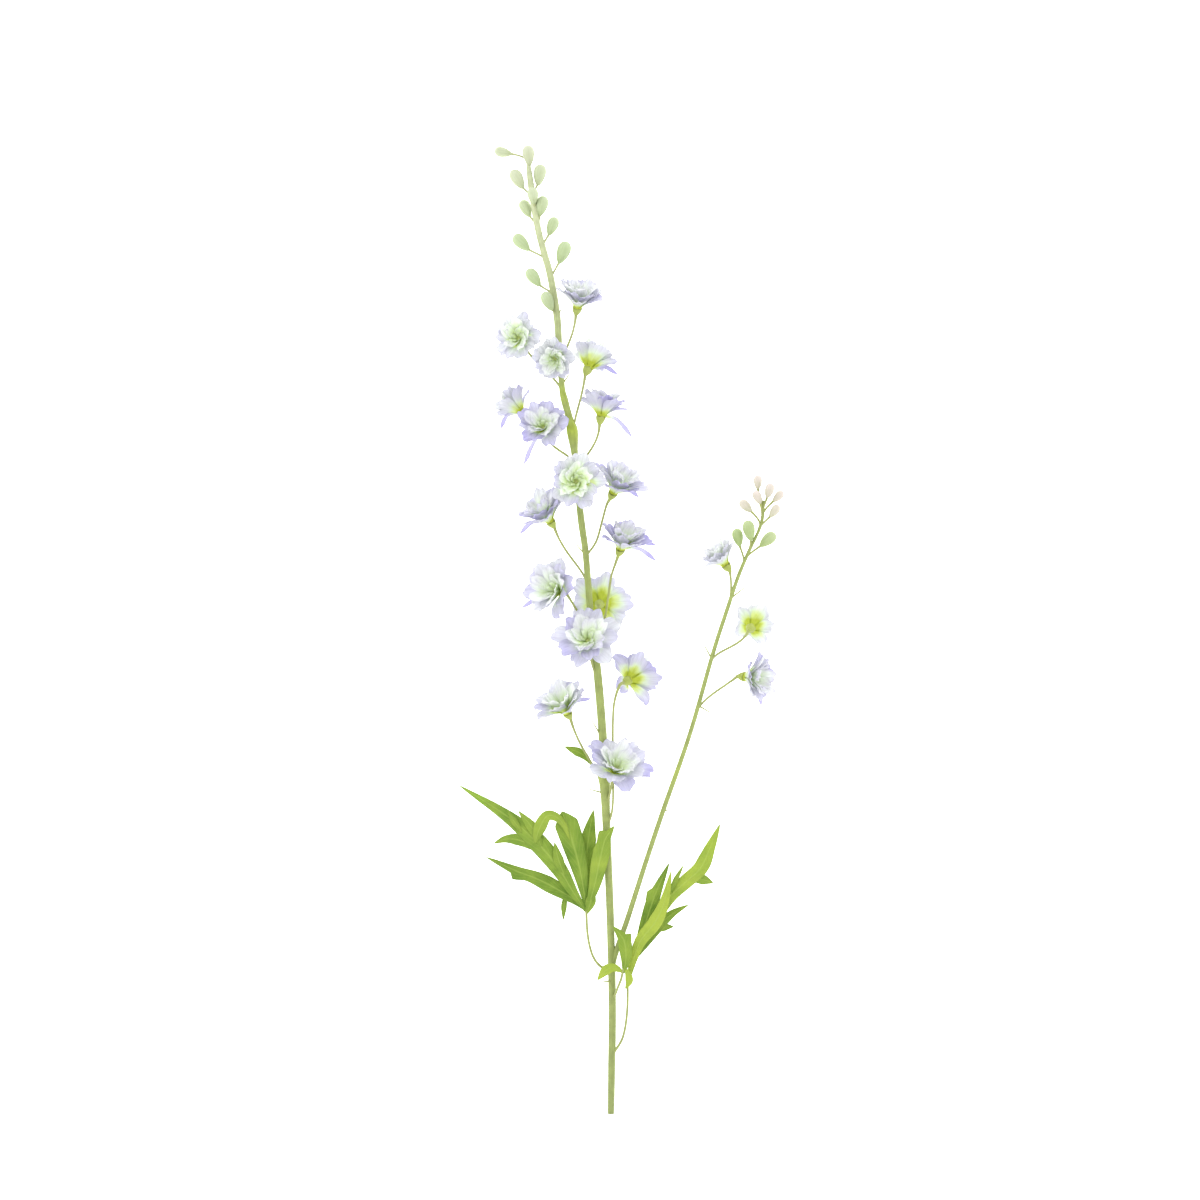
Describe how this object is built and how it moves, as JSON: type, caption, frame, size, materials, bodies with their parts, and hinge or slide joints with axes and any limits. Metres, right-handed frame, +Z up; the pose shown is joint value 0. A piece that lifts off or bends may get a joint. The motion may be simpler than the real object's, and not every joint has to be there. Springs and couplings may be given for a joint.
{
  "type": "delphinium flower spike",
  "caption": "Cut stem of a pale double delphinium with one side branch, lying down: white to lilac blooms with lime hearts, closed buds at the tips, toothed green leaves.",
  "frame": {"origin": "bottom centre of the box round the whole spike, on the surface that it lies on", "axes": "+Y along the stem from its cut foot to its tip, +Z up from the surface, +X to the side of the branch"},
  "size_m": [0.2872, 0.851, 0.0751],
  "materials": {
    "stem_green": "matte",
    "leaf_green": "satin",
    "petal_white": "matte",
    "heart_lime": "matte"
  },
  "bodies": {
    "root": {"main_stem": "stem_green", "side_branch": "stem_green", "leaf_left": "leaf_green", "leaf_right": "leaf_green", "leaf_fork": "leaf_green", "leaf_upper": "leaf_green", "bloom_01": "petal_white", "bloom_01_heart": "heart_lime", "bloom_02": "petal_white", "bloom_02_heart": "heart_lime", "bloom_03": "petal_white", "bloom_03_heart": "heart_lime", "bloom_04": "petal_white", "bloom_04_heart": "heart_lime", "bloom_05": "petal_white", "bloom_05_heart": "heart_lime", "bloom_06": "petal_white", "bloom_06_heart": "heart_lime", "bloom_07": "petal_white", "bloom_07_heart": "heart_lime", "bloom_08": "petal_white", "bloom_08_heart": "heart_lime", "bloom_09": "petal_white", "bloom_09_heart": "heart_lime", "bloom_10": "petal_white", "bloom_10_heart": "heart_lime", "bloom_11": "petal_white", "bloom_11_heart": "heart_lime", "bloom_12": "petal_white", "bloom_12_heart": "heart_lime", "bloom_13": "petal_white", "bloom_13_heart": "heart_lime", "bloom_14": "petal_white", "bloom_14_heart": "heart_lime", "bloom_15": "petal_white", "bloom_15_heart": "heart_lime", "bloom_16": "petal_white", "bloom_16_heart": "heart_lime", "bloom_17": "petal_white", "bloom_17_heart": "heart_lime", "side_bloom_1": "petal_white", "side_bloom_1_heart": "heart_lime", "side_bloom_2": "petal_white", "side_bloom_2_heart": "heart_lime", "side_bloom_3": "petal_white", "side_bloom_3_heart": "heart_lime"}
  },
  "joints": []
}
